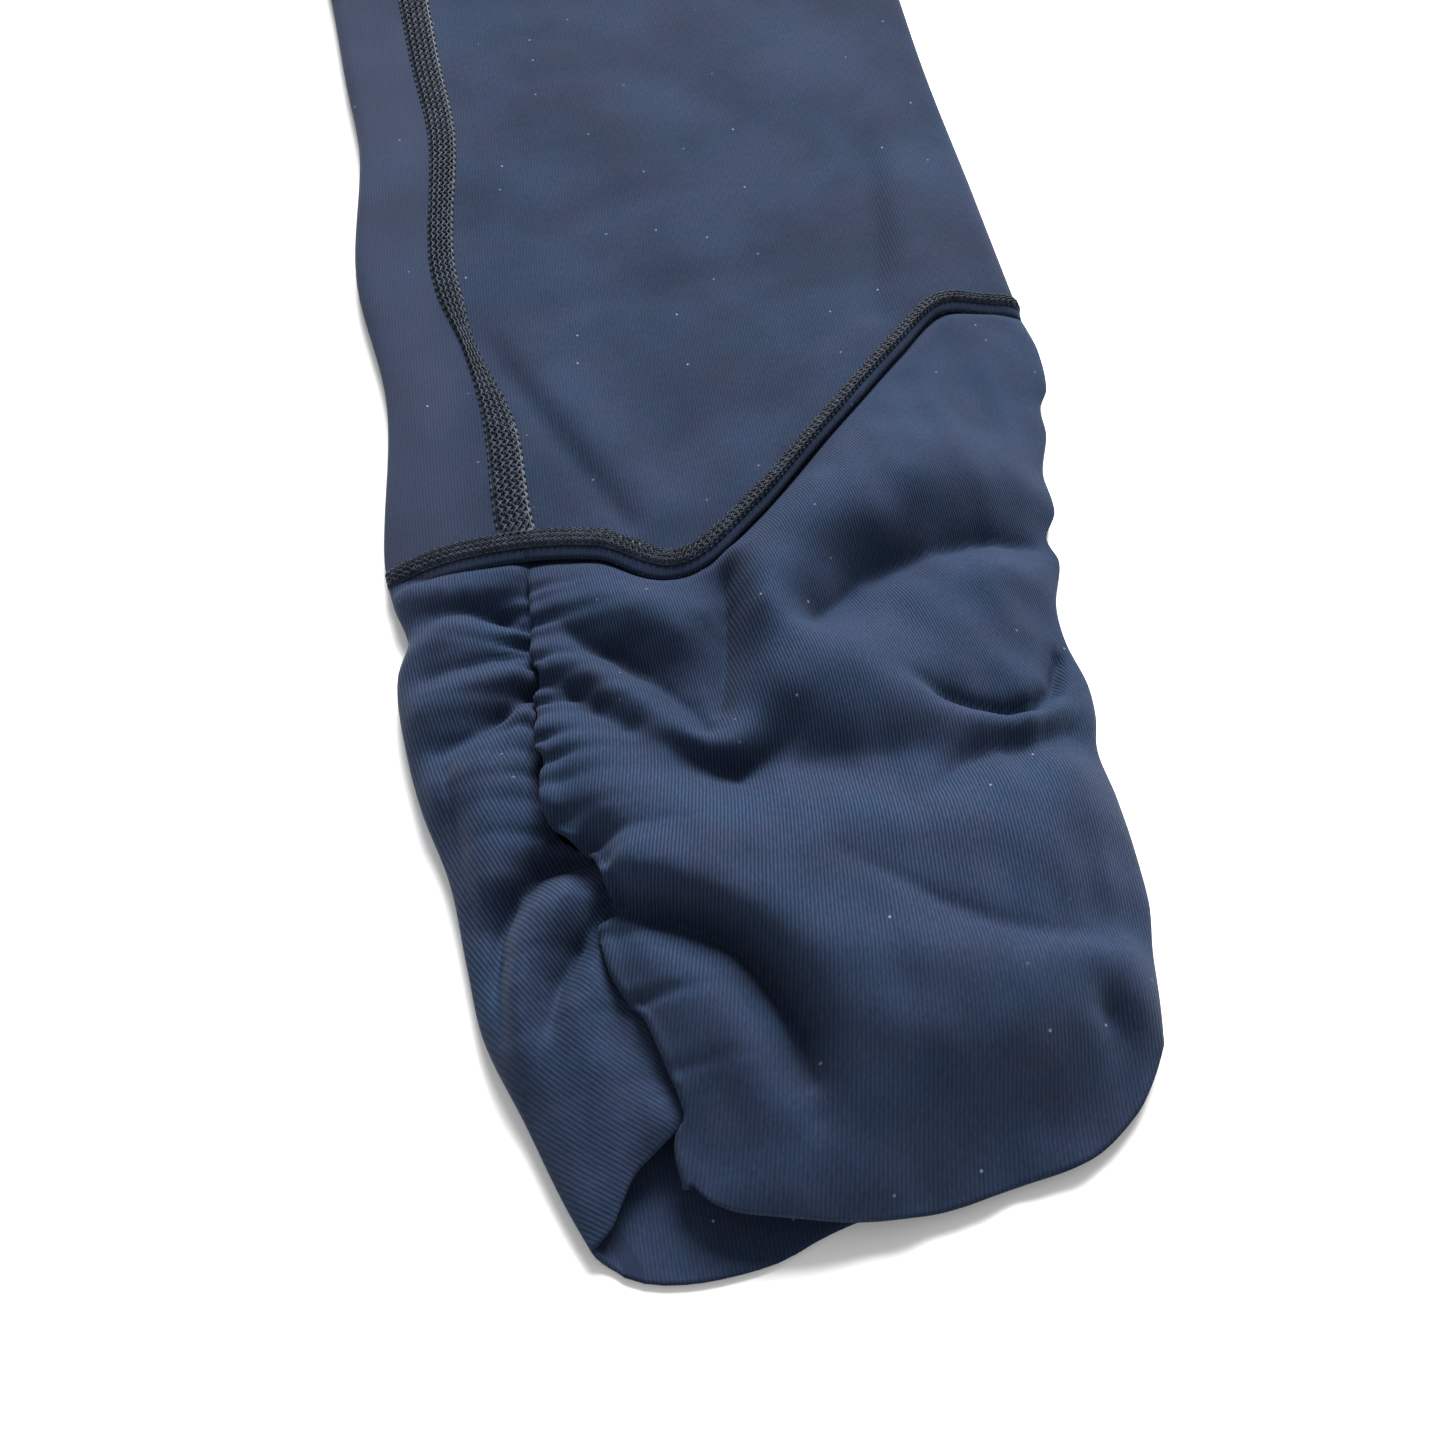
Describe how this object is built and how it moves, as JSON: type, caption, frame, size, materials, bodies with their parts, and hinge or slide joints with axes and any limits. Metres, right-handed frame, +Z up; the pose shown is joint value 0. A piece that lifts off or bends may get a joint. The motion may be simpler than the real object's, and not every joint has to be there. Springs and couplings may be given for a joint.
{
  "type": "leggings",
  "caption": "Full-length leggings in a fine stretch knit, laid flat, with a deep waistband, flatlock seams and a gathered cuff on each leg.",
  "frame": {"origin": "middle of the garment's footprint, on the surface it lies on", "axes": "+Z up out of the surface; +Y towards the waist; +X towards the wearer's left leg"},
  "size_m": [0.4142, 0.9794, 0.0219],
  "materials": {
    "knit": "matte fine stretch knit, slightly brushed",
    "stitching": "matte flatlock thread"
  },
  "bodies": {
    "root": {"leg_left": "knit", "leg_right": "knit", "cuff_left": "knit", "cuff_right": "knit", "waistband": "knit", "inseam_left": "stitching", "inseam_right": "stitching", "cuff_seam_left": "stitching", "cuff_seam_right": "stitching", "front_rise_seam": "stitching", "back_rise_seam": "stitching", "waist_seam": "stitching"}
  },
  "joints": []
}
